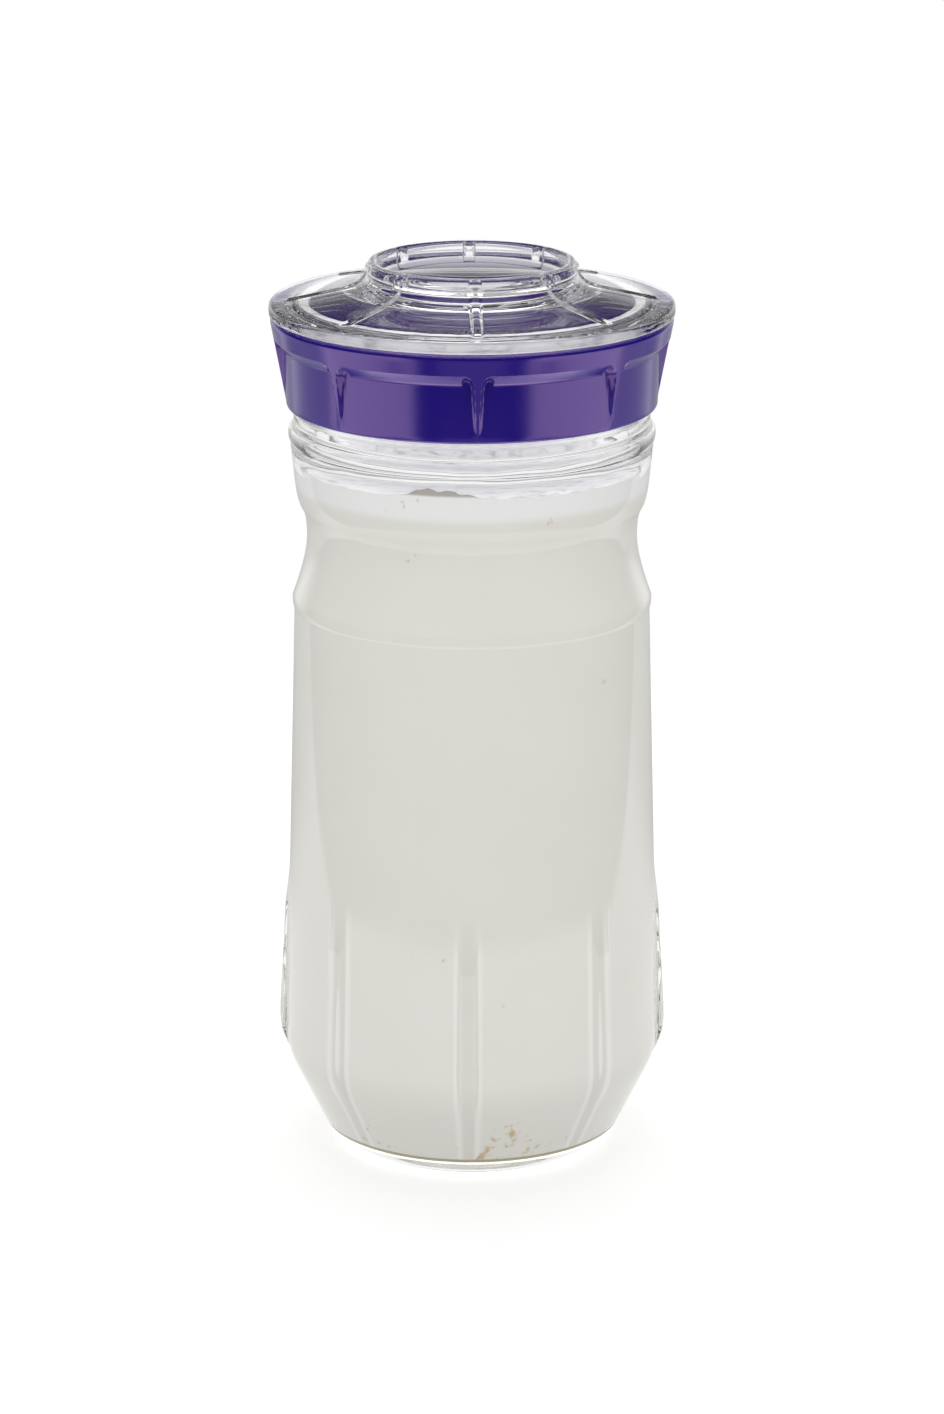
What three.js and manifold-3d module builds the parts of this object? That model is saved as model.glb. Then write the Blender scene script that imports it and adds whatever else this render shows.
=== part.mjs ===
// Kefir jar: a pressed glass jar of kefir under a screw-on strainer lid and a clear cap.
// Millimetres, +Z up, origin at the centre of the foot.

import * as THREE from "three";
import { mergeVertices } from "three/addons/utils/BufferGeometryUtils.js";
import Module from "manifold-3d";

// Glass jar, from the foot up
const bodyBaseRadius = 52.7; // at the corner over the bevel, which every other radius is stepped from
const bevelRun = 15.9; // corner in to the edge of the flat that the jar stands on
const footRingWidth = 7;
const puntHeight = 1.6; // how far the middle of the base is pushed up
const heelRadius = 5;
const bevelHeight = 27.4; // foot to the corner where the bevel meets the body
const bevelBlend = 5; // length of the rounding on each side of that corner
const bodyHeight = 128.2; // corner to the ridge
const bodyTaper = 3.55; // how much narrower the body is at the ridge
const ridgeProud = 0.5;
const ridgeHeight = 2.4;
const flareHeight = 17.5; // ridge to waist
const flareBow = 0.65; // share of that height at which the flare turns upright
const waistDepth = 3.65; // waist inside the body's top
const waistRise = 17.7; // waist to the start of the shoulder
const shoulderStep = 3.45; // shoulder beyond the waist
const shoulderHeight = 9.2;
const shoulderFlare = 0.9;
const beadHeight = 4.4;
const beadProud = 2.55; // bead beyond the neck
const collarHeight = 4.3;
const collarProud = 1.1; // collar under the lid's skirt, beyond the neck
const finishHeight = 13; // the part of the neck inside the lid
const mouthStep = 4.95; // mouth inside the shoulder
const neckWall = 3.8;
const rimRounding = 1.2;
const glassWall = 3;
const baseThickness = 5;
const innerHeelRadius = 3.5;
const innerHeelInset = 0.5;

// Ribs on the jar's lower body
const jarRibCount = 8;
const jarRibWidth = 6.8;
const jarRibEdge = 0.7;
const jarRibLength = 52.6; // above the body's corner
const jarRibFade = 14; // length over which a rib rises out of the body
const jarRibFullHeight = 8.6; // above the corner, where a rib stands out most
const jarRibUpperProud = 1.25;
const jarRibProud = 2;
const jarRibTail = 5.4; // below the corner, down the bevel
const jarRibRunOut = 0.5; // how deep both ends sink into the wall
const jarRibSkin = 0.4; // glass left between a rib's root and the inside
const jarClocking = -1.3; // degrees past the front

// Kefir
const fillRise = 3.3; // surface above the start of the shoulder
const fillGap = 0.3;
const meniscus = 0.8;

// Strainer lid, from its seat on the jar's gasket
const seatGap = 0.3;
const jarGasketThickness = 2;
const gasketGap = 0.3;
const skirtClearance = 0.8; // neck to skirt, room for the thread
const skirtGap = 1.2; // collar to the skirt's lower edge
const skirtWall = 2.1;
const skirtFlare = 4.4; // how much wider the lid is at the top
const floorThickness = 2.2;
const wellDepth = 8.2;
const wellOffset = 1.6; // well wall outside the skirt's bore
const rimChamfer = 1;
const bandHeight = 5.7; // plain band above the panels
const ledgeHeight = 3.2;
const panelDraft = 0.5;
const panelLip = 0.8; // plain edge under the panels
const gripRibCount = 8;
const gripRibWidth = 2.2;
const gripRibDraft = 0.6;
const gripRibFillet = 2.4;
const gripRibSkin = 0.2; // wall left between a rib's root and the well
const plugClearance = 0.6;
const plugDepth = 4.5;
const plugWall = 2;
const deckDrop = 0.7; // deck's edge below the rim
const deckRise = 0.9;
const deckThickness = 2;
const slotCount = 120;
const slotWidth = 0.7;
const slotLength = 9;
const slotMargin = 8.4; // plain deck between the slots and the plug's bore
const lidClocking = 1.7; // degrees past the front

// Clear cap, from the lid's rim
const capGasketThickness = 1.7;
const capSleeveHeight = 9.7; // the gasket's sleeve, which stands up inside the cap's skirt
const capClearance = 0.5;
const capSkirtWall = 2.2;
const flangeOverhang = 0.3;
const flangeThickness = 3.2;
const flangeRounding = 1.1;
const flangeSlope = 0.4;
const flangeWidth = 4.8;
const roofThickness = 2.4;
const roofRise = 4;
const ringRadius = 28.6;
const ringWall = 3;
const ringHeight = 7;
const ringDraft = 0.3;
const ringRounding = 1;
const ringDepth = 3.9;
const ringFoot = 3.6; // rounding from the roof up into the ring
const ridgeCount = 8;
const ridgeWidth = 2.8;
const ridgeEdge = 0.35;
const roofRidgeProud = 0.8;
const ringRidgeProud = 0.6;

// Facets
const jarSegments = 40;
const lidSegments = slotCount / 3; // three slots in each flat of the deck
const capSegments = 40;
const sealSegments = 32;
const outerSteps = 3;
const innerSteps = 2;
const weld = 1e-4;
const overshoot = 1; // how far a cutter or a root reaches past a face

// Levels and radii that follow from the sizes above
const footRadius = bodyBaseRadius - bevelRun;
const bodyTopRadius = bodyBaseRadius - bodyTaper;
const waistRadius = bodyTopRadius - waistDepth;
const shoulderRadius = waistRadius + shoulderStep;
const mouthRadius = shoulderRadius - mouthStep;
const neckRadius = mouthRadius + neckWall;
const ridgeLevel = bevelHeight + bodyHeight;
const crestLevel = ridgeLevel + ridgeHeight;
const waistLevel = crestLevel + flareHeight;
const shoulderLevel = waistLevel + waistRise;
const fillLevel = shoulderLevel + fillRise;
const beadLevel = shoulderLevel + shoulderHeight;
const collarLevel = beadLevel + beadHeight;
const collarTop = collarLevel + collarHeight;
const rimLevel = collarTop + finishHeight;
const lidLevel = rimLevel + seatGap + jarGasketThickness + seatGap;

const skirtBore = neckRadius + skirtClearance;
const skirtEdge = collarTop + skirtGap - lidLevel;
const skirtEdgeRadius = skirtBore + skirtWall;
const lidRadius = skirtEdgeRadius + skirtFlare;
const lidRim = floorThickness + wellDepth;
const wellRadius = skirtBore + wellOffset;
const plugRadius = mouthRadius - plugClearance;
const plugBore = plugRadius - plugWall;
const slotCircle = plugBore - slotMargin - slotLength / 2; // middle of the slots
const ledgeTop = lidRim - bandHeight;
const ledgeFoot = ledgeTop - ledgeHeight;
const panelFoot = skirtEdge + panelLip;
const deckEdge = lidRim - deckDrop;

const capLevel = lidRim + seatGap;
const capSkirtRadius = wellRadius - capClearance;
const capSkirtBore = capSkirtRadius - capSkirtWall;
const capSkirtEdge = floorThickness + seatGap + capGasketThickness + seatGap - capLevel;
const flangeRadius = lidRadius + flangeOverhang;
const roofFootRadius = flangeRadius - flangeWidth;
const roofFoot = flangeThickness + flangeSlope;
const ringFootRadius = ringRadius + ringFoot;
const roofTop = roofFoot + roofRise;
const ringTop = roofTop + ringHeight;
const ringBore = ringRadius - ringWall;
const ringFloor = ringTop - ringDepth;

const wasm = await Module();
wasm.setup();

// A closed geometry as a solid, with its shared corners merged and its collapsed faces left out.
function solidOf(geometry) {
  geometry.deleteAttribute("normal");
  geometry.deleteAttribute("uv");
  const merged = mergeVertices(geometry, weld);
  const corners = merged.index.array;
  const triVerts = [];
  for (let i = 0; i < corners.length; i += 3) {
    const face = [corners[i], corners[i + 1], corners[i + 2]];
    if (new Set(face).size === 3) triVerts.push(...face);
  }
  const vertProperties = new Float32Array(merged.attributes.position.array);
  return new wasm.Manifold(new wasm.Mesh({ numProp: 3, vertProperties, triVerts: new Uint32Array(triVerts) }));
}

// A named mesh of a solid.
function meshOf(name, solid, material) {
  const { vertProperties, triVerts } = solid.getMesh();
  const geometry = new THREE.BufferGeometry();
  geometry.setAttribute("position", new THREE.BufferAttribute(vertProperties, 3));
  geometry.setIndex(new THREE.BufferAttribute(triVerts, 1));
  geometry.computeVertexNormals();
  const mesh = new THREE.Mesh(geometry, material);
  mesh.name = name;
  return mesh;
}

// Profile points (radius, level) turned about +Z. The outside of the profile runs upwards.
function revolve(points, segments) {
  const geometry = new THREE.LatheGeometry(points, segments);
  geometry.rotateX(Math.PI / 2);
  return solidOf(geometry);
}

// A side outline (radius, level) given a width, set in the plane of the X axis.
function rib(outline, width, edge) {
  const geometry = new THREE.ExtrudeGeometry(outline, {
    depth: width - 2 * edge,
    curveSegments: innerSteps,
    bevelThickness: edge,
    bevelSize: edge,
    bevelOffset: -edge,
    bevelSegments: 1,
  });
  geometry.translate(0, 0, edge - width / 2);
  geometry.rotateX(Math.PI / 2);
  return solidOf(geometry);
}

// Copies of a solid spaced evenly about +Z, each joined to or cut from the body.
function joinAround(body, piece, count) {
  let joined = body;
  for (let i = 0; i < count; i += 1) {
    joined = joined.add(piece.rotate([0, 0, (i * 360) / count]));
  }
  return joined;
}

function cutAround(body, piece, count) {
  let cut = body;
  for (let i = 0; i < count; i += 1) {
    cut = cut.subtract(piece.rotate([0, 0, (i * 360) / count]));
  }
  return cut;
}

// Radius of a straight side between two points, at a level.
function sideAt(level, lowRadius, lowLevel, highRadius, highLevel) {
  return lowRadius + ((highRadius - lowRadius) * (level - lowLevel)) / (highLevel - lowLevel);
}

const bodyAt = (level) => sideAt(level, bodyBaseRadius, bevelHeight, bodyTopRadius, ridgeLevel);

// Heel and bevel: an arc off the floor, tangent to the straight bevel that runs up to the body's corner.
function addHeel(path, centreRadius, floor, radius, cornerRadius) {
  const centre = floor + radius;
  const across = cornerRadius - centreRadius;
  const up = bevelHeight - centre;
  const tangent = Math.atan2(up, across) - Math.acos(radius / Math.hypot(across, up));
  path.lineTo(centreRadius, floor);
  path.absarc(centreRadius, centre, radius, -Math.PI / 2, tangent, false);
  const end = path.currentPoint.clone();
  const corner = new THREE.Vector2(cornerRadius, bevelHeight);
  const below = corner.clone().sub(end).setLength(bevelBlend);
  path.lineTo(corner.x - below.x, corner.y - below.y);
}

// The wall from the body's corner up to the shoulder, drawn in from the outside by inset.
function addWall(path, inset, ridge) {
  const cornerEnd = bevelHeight + bevelBlend;
  path.quadraticCurveTo(bodyBaseRadius - inset, bevelHeight, bodyAt(cornerEnd) - inset, cornerEnd);
  path.lineTo(bodyTopRadius - inset, ridgeLevel);
  const crest = bodyTopRadius + ridge - inset;
  path.quadraticCurveTo(crest, ridgeLevel, crest, crestLevel);
  const waist = waistRadius - inset;
  path.quadraticCurveTo(waist, crestLevel + flareBow * flareHeight, waist, waistLevel);
  const shoulder = shoulderRadius - inset;
  const handle = waistRise / 3;
  const lean = (handle * shoulderFlare) / shoulderHeight;
  path.bezierCurveTo(
    waist,
    waistLevel + waistRise / 2,
    shoulder - lean,
    shoulderLevel - handle,
    shoulder,
    shoulderLevel,
  );
}

function glassJarSolid() {
  const outside = new THREE.Path();
  outside.moveTo(0, puntHeight);
  const footInner = footRadius - footRingWidth;
  outside.quadraticCurveTo(footInner / 2, puntHeight, footInner, 0);
  addHeel(outside, footRadius, 0, heelRadius, bodyBaseRadius);
  addWall(outside, 0, ridgeProud);
  outside.lineTo(shoulderRadius + shoulderFlare, beadLevel);
  const bead = neckRadius + beadProud;
  outside.quadraticCurveTo(bead, beadLevel + beadHeight / 5, bead, beadLevel + beadHeight / 2);
  const collar = neckRadius + collarProud;
  outside.quadraticCurveTo(bead, collarLevel, collar, collarLevel);
  outside.lineTo(collar, collarTop - collarProud);
  outside.lineTo(neckRadius, collarTop);
  outside.lineTo(neckRadius, rimLevel - rimRounding);
  outside.quadraticCurveTo(neckRadius, rimLevel, neckRadius - rimRounding, rimLevel);

  const inside = new THREE.Path();
  inside.moveTo(0, baseThickness);
  const innerHeel = footRadius - innerHeelInset;
  addHeel(inside, innerHeel, baseThickness, innerHeelRadius, bodyBaseRadius - glassWall);
  addWall(inside, glassWall, 0);
  inside.quadraticCurveTo(shoulderRadius + shoulderFlare - glassWall, beadLevel, mouthRadius, collarLevel);
  inside.lineTo(mouthRadius, rimLevel - rimRounding);
  inside.quadraticCurveTo(mouthRadius, rimLevel, mouthRadius + rimRounding, rimLevel);

  const profile = [...outside.getPoints(outerSteps), ...inside.getPoints(innerSteps).reverse()];
  return joinAround(revolve(profile, jarSegments), jarRib(), jarRibCount);
}

// One rib: it fades in on the body, stands out most above the corner and runs out on the bevel.
function jarRib() {
  const top = bevelHeight + jarRibLength;
  const fadeEnd = top - jarRibFade;
  const full = bevelHeight + jarRibFullHeight;
  const tail = bevelHeight - jarRibTail;
  const tailRadius = sideAt(tail, footRadius + heelRadius, 0, bodyBaseRadius, bevelHeight);
  const root = glassWall - jarRibSkin;
  const outline = new THREE.Shape();
  outline.moveTo(bodyAt(top) - root, top);
  outline.lineTo(bodyAt(bevelHeight) - root, bevelHeight);
  outline.lineTo(tailRadius - root, tail);
  outline.lineTo(tailRadius - jarRibRunOut, tail);
  const crest = bodyAt(full) + jarRibProud;
  outline.quadraticCurveTo(crest, bevelHeight, crest, full);
  outline.lineTo(bodyAt(fadeEnd) + jarRibUpperProud, fadeEnd);
  outline.lineTo(bodyAt(top) - jarRibRunOut, top);
  return rib(outline, jarRibWidth, jarRibEdge);
}

function kefirSolid() {
  const inset = glassWall + fillGap;
  const floor = baseThickness + fillGap;
  const side = new THREE.Path();
  side.moveTo(0, floor);
  addHeel(side, footRadius - innerHeelInset, floor, innerHeelRadius, bodyBaseRadius - inset);
  addWall(side, inset, 0);
  const points = side.getPoints(innerSteps);
  const top = points.at(-1);
  points.push(new THREE.Vector2(top.x, fillLevel));
  points.push(new THREE.Vector2(top.x - 2 * meniscus, fillLevel - meniscus));
  points.push(new THREE.Vector2(0, fillLevel - meniscus));
  return revolve(points, jarSegments);
}

// A flat ring with broken edges.
function sealSolid(innerRadius, outerRadius, low, thickness) {
  const edge = thickness / 4;
  const ring = new THREE.Path();
  ring.moveTo(innerRadius, low + edge);
  ring.lineTo(innerRadius + edge, low);
  ring.lineTo(outerRadius - edge, low);
  ring.lineTo(outerRadius, low + edge);
  ring.lineTo(outerRadius, low + thickness - edge);
  ring.lineTo(outerRadius - edge, low + thickness);
  ring.lineTo(innerRadius + edge, low + thickness);
  ring.lineTo(innerRadius, low + thickness - edge);
  ring.lineTo(innerRadius, low + edge);
  return revolve(ring.getPoints(), sealSegments);
}

// The cap's seal: a flat ring under the cap's skirt, and a sleeve round the plug inside the skirt.
function sleeveSealSolid() {
  const low = floorThickness + seatGap - capLevel;
  const inner = plugRadius + gasketGap;
  const outer = wellRadius - gasketGap;
  const sleeve = capSkirtBore - gasketGap;
  const edge = capGasketThickness / 4;
  const ring = new THREE.Path();
  ring.moveTo(inner, low + edge);
  ring.lineTo(inner + edge, low);
  ring.lineTo(outer - edge, low);
  ring.lineTo(outer, low + edge);
  ring.lineTo(outer, low + capGasketThickness);
  ring.lineTo(sleeve, low + capGasketThickness);
  ring.lineTo(sleeve, low + capSleeveHeight);
  ring.lineTo(inner, low + capSleeveHeight);
  ring.lineTo(inner, low + edge);
  return revolve(ring.getPoints(), sealSegments);
}

const coneAt = (level) => sideAt(level, skirtEdgeRadius, skirtEdge, lidRadius, lidRim - rimChamfer);

function strainerLidSolid() {
  const panel = coneAt(panelFoot);
  const outline = new THREE.Path();
  outline.moveTo(0, deckEdge + deckRise - deckThickness);
  outline.lineTo(plugBore, deckEdge - deckThickness);
  outline.lineTo(plugBore, -plugDepth);
  outline.lineTo(plugRadius, -plugDepth);
  outline.lineTo(plugRadius, 0);
  outline.lineTo(skirtBore, 0);
  outline.lineTo(skirtBore, skirtEdge);
  outline.lineTo(skirtEdgeRadius, skirtEdge);
  outline.lineTo(panel, panelFoot);
  outline.lineTo(panel + panelDraft, ledgeFoot);
  outline.lineTo(coneAt(ledgeTop), ledgeTop);
  outline.lineTo(lidRadius, lidRim - rimChamfer);
  outline.lineTo(lidRadius - rimChamfer, lidRim);
  outline.lineTo(wellRadius, lidRim);
  outline.lineTo(wellRadius, floorThickness);
  outline.lineTo(plugRadius, floorThickness);
  outline.lineTo(plugRadius, deckEdge);
  outline.lineTo(0, deckEdge + deckRise);
  const body = revolve(outline.getPoints(), lidSegments);
  const ribbed = joinAround(body, gripRib(), gripRibCount);
  return cutAround(ribbed, strainerSlot(), slotCount);
}

// One grip rib: it carries the band's cone down between two panels and tapers to a point.
function gripRib() {
  const half = gripRibWidth / 2;
  const face = new THREE.Shape();
  face.moveTo(0, panelFoot);
  face.lineTo(half, ledgeFoot);
  face.quadraticCurveTo(half, ledgeTop, half + gripRibFillet, ledgeTop);
  face.lineTo(half + gripRibFillet, ledgeTop + overshoot);
  face.lineTo(-half - gripRibFillet, ledgeTop + overshoot);
  face.lineTo(-half - gripRibFillet, ledgeTop);
  face.quadraticCurveTo(-half, ledgeTop, -half, ledgeFoot);
  const root = skirtBore;
  const depth = lidRadius + overshoot - root;
  const geometry = new THREE.ExtrudeGeometry(face, { depth, bevelEnabled: false, curveSegments: outerSteps });
  const corners = geometry.attributes.position;
  for (let i = 0; i < corners.count; i += 1) {
    const buried = 1 - corners.getZ(i) / depth;
    corners.setX(i, corners.getX(i) * (1 + (buried * gripRibDraft) / half));
  }
  geometry.translate(0, 0, root);
  geometry.rotateX(Math.PI / 2);
  const wall = new THREE.Path();
  wall.moveTo(skirtBore + skirtWall / 2, skirtEdge);
  wall.lineTo(skirtEdgeRadius, skirtEdge);
  wall.lineTo(lidRadius, lidRim - rimChamfer);
  wall.lineTo(wellRadius + gripRibSkin, lidRim - rimChamfer);
  wall.lineTo(wellRadius + gripRibSkin, floorThickness / 2);
  wall.lineTo(skirtBore + skirtWall / 2, floorThickness / 2);
  wall.closePath();
  return solidOf(geometry).intersect(revolve(wall.getPoints(), lidSegments));
}

function strainerSlot() {
  const height = deckRise + deckThickness + 2 * overshoot;
  const box = new THREE.BoxGeometry(slotLength, slotWidth, height);
  box.translate(slotCircle, 0, deckEdge - deckThickness - overshoot + height / 2);
  box.rotateZ(Math.PI / slotCount);
  return solidOf(box);
}

const roofAt = (radius) => sideAt(radius, roofFoot, roofFootRadius, roofTop, ringFootRadius);

function clearCapSolid() {
  const innerTop = ringFloor - roofThickness;
  const underRing = ringBore - ringWall / 2;
  const top = new THREE.Path();
  top.moveTo(0, innerTop);
  top.lineTo(underRing, innerTop);
  top.lineTo(ringRadius - ringWall, roofAt(ringRadius) - roofThickness);
  top.lineTo(capSkirtBore, roofAt(capSkirtBore) - roofThickness);
  top.lineTo(capSkirtBore, capSkirtEdge);
  top.lineTo(capSkirtRadius, capSkirtEdge);
  top.lineTo(capSkirtRadius, 0);
  top.lineTo(flangeRadius - flangeRounding, 0);
  top.quadraticCurveTo(flangeRadius, 0, flangeRadius, flangeRounding);
  top.lineTo(flangeRadius, flangeThickness - flangeRounding);
  top.quadraticCurveTo(flangeRadius, flangeThickness, flangeRadius - flangeRounding, flangeThickness);
  top.lineTo(roofFootRadius, roofFoot);
  top.lineTo(ringFootRadius, roofTop);
  top.quadraticCurveTo(ringRadius, roofTop, ringRadius, roofTop + ringFoot);
  const crown = ringRadius - ringDraft;
  top.lineTo(crown, ringTop - ringRounding);
  top.quadraticCurveTo(crown, ringTop, crown - ringRounding, ringTop);
  const lip = ringBore + ringDraft;
  top.lineTo(lip + ringRounding, ringTop);
  top.quadraticCurveTo(lip, ringTop, lip, ringTop - ringRounding);
  top.lineTo(ringBore, ringFloor);
  top.lineTo(0, ringFloor);
  const body = revolve(top.getPoints(innerSteps), capSegments);
  return joinAround(body, capRidge(), ridgeCount);
}

// One ridge: up the roof from the flange, over the ring and down to its floor.
function capRidge() {
  const outer = ringRadius + ringRidgeProud;
  const inner = ringBore - ringRidgeProud;
  const crown = ringTop + ringRidgeProud;
  const root = roofThickness / 2;
  const outline = new THREE.Shape();
  outline.moveTo(roofFootRadius, roofFoot - root);
  outline.lineTo(roofFootRadius, roofFoot + roofRidgeProud / 2);
  outline.lineTo(roofFootRadius - roofRidgeProud, roofAt(roofFootRadius - roofRidgeProud) + roofRidgeProud);
  outline.lineTo(ringFootRadius + ringRidgeProud, roofAt(ringFootRadius + ringRidgeProud) + roofRidgeProud);
  outline.quadraticCurveTo(outer, roofTop + roofRidgeProud, outer, roofTop + ringFoot + roofRidgeProud);
  outline.lineTo(outer - ringDraft, crown - ringRounding);
  outline.quadraticCurveTo(outer - ringDraft, crown, outer - ringDraft - ringRounding, crown);
  outline.lineTo(inner + ringDraft + ringRounding, crown);
  outline.quadraticCurveTo(inner + ringDraft, crown, inner + ringDraft, crown - ringRounding);
  outline.lineTo(inner, ringFloor);
  outline.lineTo(inner, ringFloor - root);
  outline.lineTo(ringFootRadius, roofTop - root);
  return rib(outline, ridgeWidth, ridgeEdge);
}

const glass = new THREE.MeshStandardMaterial({ color: 0xe9efec, roughness: 0.05, metalness: 0 });
const milk = new THREE.MeshStandardMaterial({ color: 0xf0eee8, roughness: 0.45, metalness: 0 });
const purple = new THREE.MeshStandardMaterial({ color: 0x4a2f8f, roughness: 0.4, metalness: 0 });
const clear = new THREE.MeshStandardMaterial({ color: 0xf2f4f8, roughness: 0.06, metalness: 0 });
const silicone = new THREE.MeshStandardMaterial({ color: 0xe6e6e2, roughness: 0.6, metalness: 0 });

const jarGasketSolid = sealSolid(
  plugRadius + gasketGap,
  skirtBore - gasketGap,
  -seatGap - jarGasketThickness,
  jarGasketThickness,
);

const jar = new THREE.Group();
jar.rotation.z = THREE.MathUtils.degToRad(jarClocking);
jar.add(meshOf("glass_jar", glassJarSolid(), glass));
jar.add(meshOf("kefir", kefirSolid(), milk));

const cap = new THREE.Group();
cap.position.z = capLevel;
cap.add(meshOf("clear_cap", clearCapSolid(), clear));
cap.add(meshOf("cap_gasket", sleeveSealSolid(), silicone.clone()));

const lid = new THREE.Group();
lid.position.z = lidLevel;
lid.rotation.z = THREE.MathUtils.degToRad(lidClocking);
lid.add(meshOf("strainer_lid", strainerLidSolid(), purple));
lid.add(meshOf("jar_gasket", jarGasketSolid, silicone));
lid.add(cap);

const kefirJar = new THREE.Group();
kefirJar.add(jar);
kefirJar.add(lid);

export default kefirJar;
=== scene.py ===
import math

import bmesh
import bpy
from mathutils import Matrix, Vector, noise


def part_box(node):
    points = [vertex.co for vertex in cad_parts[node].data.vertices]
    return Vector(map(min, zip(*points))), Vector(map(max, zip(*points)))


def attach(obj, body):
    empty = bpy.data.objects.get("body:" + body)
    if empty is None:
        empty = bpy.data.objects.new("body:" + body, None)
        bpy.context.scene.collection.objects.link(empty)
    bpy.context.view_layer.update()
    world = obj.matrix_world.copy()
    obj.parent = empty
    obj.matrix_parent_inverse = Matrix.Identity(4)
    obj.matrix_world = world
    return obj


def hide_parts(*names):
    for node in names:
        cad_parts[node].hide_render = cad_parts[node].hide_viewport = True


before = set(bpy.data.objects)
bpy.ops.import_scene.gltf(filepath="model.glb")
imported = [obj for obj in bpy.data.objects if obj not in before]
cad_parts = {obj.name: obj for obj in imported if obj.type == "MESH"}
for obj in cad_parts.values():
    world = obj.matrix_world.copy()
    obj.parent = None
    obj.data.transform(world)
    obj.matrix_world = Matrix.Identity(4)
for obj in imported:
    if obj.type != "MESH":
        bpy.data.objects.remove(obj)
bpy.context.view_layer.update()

mm = 0.001
fullTurn = 360
eighths = 8
weld = 1e-6
sliver = 0.001  # a share of a row that gets no row of its own
near = 0.1  # what counts as on a line, in millimetres
hair = 0.01


def low(node):
    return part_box(node)[0].z / mm


def high(node):
    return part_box(node)[1].z / mm


def ease(value, start, end):
    share = min(max((value - start) / (end - start), 0), 1)
    return share * share * (3 - 2 * share)


# Outlines and turned shapes
class Outline:
    # a side view drawn from point to point, in millimetres from the axis and from the floor

    def __init__(self, radius, level):
        self.path = [Vector((radius, level))]
        self.fillet = 0

    def line(self, radius, level, fillet=0, steps=4):
        # the steps round off the corner that the last line left, and the fillet is for this line's end
        end = Vector((radius, level))
        if self.fillet:
            corner = self.path.pop()
            before = corner + (self.path[-1] - corner).normalized() * self.fillet
            after = corner + (end - corner).normalized() * self.fillet
            self.path.append(before)
            self.bend(corner, after, steps)
        self.path.append(end)
        self.fillet = fillet

    def bend(self, corner, end, steps=8):
        start, corner, end = self.path[-1], Vector(corner), Vector(end)
        for step in range(1, steps + 1):
            share = step / steps
            onward = start.lerp(corner, share).lerp(corner.lerp(end, share), share)
            self.path.append(onward)
        self.fillet = 0

    def spaced(self, most):
        points = [self.path[0]]
        for end in self.path[1:]:
            start = points[-1]
            steps = math.ceil((end - start).length / most - sliver)
            points += [start.lerp(end, step / steps) for step in range(1, steps + 1)]
        return points


def finer(points, most, start, end):
    # more points on the stretch between two levels
    fine = [points[0]]
    for point in points[1:]:
        steps = 1
        if start < point.y < end:
            steps = math.ceil((point - fine[-1]).length / most)
        last = fine[-1]
        fine += [last.lerp(point, step / steps) for step in range(1, steps + 1)]
    return fine


def turn(points, count, plan, closed=False):
    # one sector is turned by the plan, and copies of it complete the round
    bm = bmesh.new()
    verts = [bm.verts.new((point.x * mm, 0, point.y * mm)) for point in points]
    edges = [bm.edges.new(pair) for pair in zip(verts, verts[1:])]
    if closed:
        edges.append(bm.edges.new((verts[-1], verts[0])))
    geom = verts + edges
    for degrees, steps in plan:
        spun = bmesh.ops.spin(bm, geom=geom, axis=(0, 0, 1), angle=math.radians(degrees), steps=steps)
        geom = spun["geom_last"]
    bmesh.ops.remove_doubles(bm, verts=bm.verts, dist=weld)
    around = math.tau * (count - 1) / count
    sector = bm.verts[:] + bm.edges[:] + bm.faces[:]
    bmesh.ops.spin(bm, geom=sector, axis=(0, 0, 1), angle=around, steps=count - 1, use_duplicate=True)
    bmesh.ops.remove_doubles(bm, verts=bm.verts, dist=weld)
    bmesh.ops.recalc_face_normals(bm, faces=bm.faces)
    bm.normal_update()
    return bm


def turnEvenly(points, columns, closed=False):
    return turn(points, eighths, [(fullTurn / eighths, columns // eighths)], closed)


def crowded(count, fineDegrees, fineSteps, plainSteps):
    # columns crowd together round the middle of the sector
    plain = fullTurn / count / 2 - fineDegrees
    return [(plain, plainSteps), (2 * fineDegrees, 2 * fineSteps), (plain, plainSteps)]


def polar(vert, count):
    # radius, level and the distance along the round from the middle of the sector, in millimetres
    radius = math.hypot(vert.co.x, vert.co.y) / mm
    sector = fullTurn / count
    offset = math.degrees(math.atan2(vert.co.y, vert.co.x)) % sector - sector / 2
    return radius, vert.co.z / mm, radius * math.radians(offset)


def setRadius(vert, radius):
    across = math.hypot(vert.co.x, vert.co.y)
    vert.co.x *= radius * mm / across
    vert.co.y *= radius * mm / across


def faceFront(bm, count, clocking):
    # the middle of one sector comes to the front, and then past it by the clocking
    angle = math.radians(clocking - 90 - fullTurn / count / 2)
    bmesh.ops.rotate(bm, verts=bm.verts, matrix=Matrix.Rotation(angle, 3, "Z"))


def addMesh(name, bm, finish):
    mesh = bpy.data.meshes.new(name)
    bm.to_mesh(mesh)
    bm.free()
    mesh.materials.append(finish)
    thing = bpy.data.objects.new(name, mesh)
    bpy.context.scene.collection.objects.link(thing)
    return thing


def addPiece(name, bm, body, finish, sharp=35):
    piece = addMesh(name, bm, finish)
    piece.data.shade_smooth()
    piece.data.set_sharp_from_angle(angle=math.radians(sharp))
    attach(piece, body)
    return piece


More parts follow.
